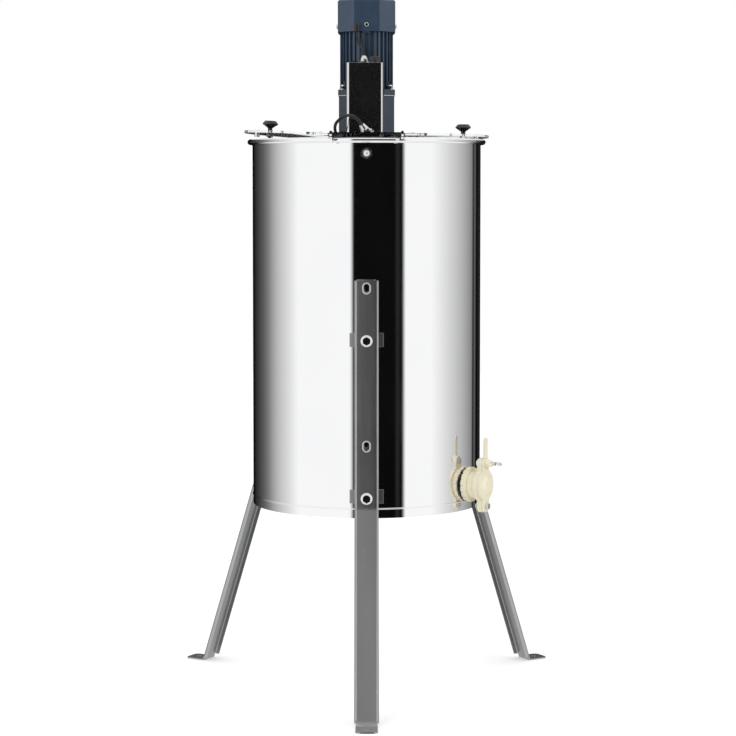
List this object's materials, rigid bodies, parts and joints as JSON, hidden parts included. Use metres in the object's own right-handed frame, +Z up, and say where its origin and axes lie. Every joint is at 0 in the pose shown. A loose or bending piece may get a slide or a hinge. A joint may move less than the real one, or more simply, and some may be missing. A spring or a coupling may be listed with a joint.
{
  "type": "honey extractor",
  "caption": "Electric honey extractor: polished drum on splayed channel legs, bridge with vertical gear motor and control box, clear lids, frame basket and honey gate.",
  "frame": {"origin": "on the floor under the drum axis, the centre of the foot bolt circle", "axes": "+Z up along the drum axis, -Y towards the front leg and the control box, +X right"},
  "size_m": [0.633, 0.5641, 1.1472],
  "materials": {
    "polished_steel": "mirror polished stainless",
    "bridge_steel": "polished stainless",
    "leg_steel": "brushed stainless",
    "bolt_steel": "bright plated",
    "basket_steel": "welded stainless",
    "shaft_steel": "machined",
    "motor_paint": "dark blue enamel",
    "stator_copper": "wound",
    "rotor_steel": "laminated",
    "bronze": "sintered",
    "fan_plastic": "moulded",
    "box_steel": "mirror polished stainless",
    "board_green": "solder mask",
    "black_plastic": "moulded",
    "gland_metal": "nickel plated",
    "cord_rubber": "satin",
    "gate_plastic": "moulded cream nylon",
    "clear_sheet": "clear acrylic"
  },
  "bodies": {
    "drum": {"bottom_bearing_cup": "fan_plastic", "bridge": "bridge_steel", "bridge_cable_gland": "gland_metal", "control_box": "box_steel", "control_box_back": "box_steel", "control_box_screws": "bolt_steel", "cord_tie": "black_plastic", "cowl_screws": "bolt_steel", "drum_bottom": "polished_steel", "drum_wall": "polished_steel", "fan_cowl": "motor_paint", "frame_bolts": "bolt_steel", "frame_nuts": "bolt_steel", "gate_body": "gate_plastic", "gate_bolts": "bolt_steel", "gate_gasket": "cord_rubber", "gate_nuts": "gate_plastic", "gearbox_bolts": "bolt_steel", "gearbox_bushes": "bronze", "gearbox_cover": "motor_paint", "gearbox_housing": "motor_paint", "hinge_leaves_fixed": "bridge_steel", "hinge_pins": "bridge_steel", "lead_grommet": "black_plastic", "leg_brackets": "leg_steel", "leg_front": "leg_steel", "leg_left": "leg_steel", "leg_right": "leg_steel", "motor_bearings": "rotor_steel", "motor_housing": "motor_paint", "motor_lead": "cord_rubber", "power_cord": "cord_rubber", "power_cord_coil": "cord_rubber", "power_plug": "black_plastic", "speed_control_board": "board_green", "stator": "stator_copper", "switch_housing": "black_plastic", "top_cable_gland": "gland_metal"},
    "basket": {"basket_shaft": "basket_steel", "output_shaft": "shaft_steel", "shaft_coupling": "basket_steel", "basket_frame": "basket_steel", "basket_grids": "basket_steel", "output_gear": "shaft_steel"},
    "layshaft": {"layshaft_gears": "shaft_steel"},
    "rotor": {"rotor_shaft": "shaft_steel", "rotor_core": "rotor_steel", "cooling_fan": "fan_plastic"},
    "shutter": {"gate_shutter": "gate_plastic"},
    "wing_nut": {"gate_wing_nut": "gate_plastic"},
    "rocker": {"rocker_switch": "black_plastic"},
    "dial": {"speed_knob": "black_plastic"},
    "left_lid": {"left_lid_plate": "clear_sheet", "left_lid_knob": "black_plastic", "left_lid_hinge_leaves": "bridge_steel", "left_lid_screws": "bolt_steel"},
    "right_lid": {"right_lid_plate": "clear_sheet", "right_lid_knob": "black_plastic", "right_lid_hinge_leaves": "bridge_steel", "right_lid_screws": "bolt_steel"}
  },
  "joints": [
    {"name": "basket_spin", "type": "hinge", "parent": "drum", "child": "basket", "pos_m": [0, 0, 0.6], "axis": [0, 0, 1], "continuous": true},
    {"name": "layshaft_spin", "type": "hinge", "parent": "drum", "child": "layshaft", "pos_m": [0, 0.02, 0.95], "axis": [0, 0, 1], "continuous": true},
    {"name": "rotor_spin", "type": "hinge", "parent": "drum", "child": "rotor", "pos_m": [0, 0, 1.04], "axis": [0, 0, 1], "continuous": true},
    {"name": "left_lid_hinge", "type": "hinge", "parent": "drum", "child": "left_lid", "pos_m": [-0.0575, 0, 0.919], "axis": [0, 1, 0], "range_deg": [0, 83.7]},
    {"name": "right_lid_hinge", "type": "hinge", "parent": "drum", "child": "right_lid", "pos_m": [0.0575, 0, 0.919], "axis": [0, -1, 0], "range_deg": [0, 87]},
    {"name": "shutter_swing", "type": "hinge", "parent": "drum", "child": "shutter", "pos_m": [0.19312, -0.1115, 0.312], "axis": [0.866, -0.5, 0], "range_deg": [0, 85]},
    {"name": "wing_nut_spin", "type": "hinge", "parent": "drum", "child": "wing_nut", "pos_m": [0.19919, -0.115, 0.382], "axis": [0.866, -0.5, 0], "continuous": true},
    {"name": "power_rocker", "type": "hinge", "parent": "drum", "child": "rocker", "pos_m": [-0.02, -0.077, 1.0315], "axis": [1, 0, 0], "range_deg": [-8, 8]},
    {"name": "speed_dial", "type": "hinge", "parent": "drum", "child": "dial", "pos_m": [0.013, -0.077, 1.0375], "axis": [0, 0, -1], "range_deg": [0, 270]}
  ],
  "couplings": [
    {"joint": "layshaft_spin", "follows": "basket_spin", "ratio": -2.3333},
    {"joint": "rotor_spin", "follows": "basket_spin", "ratio": 5.4444}
  ]
}
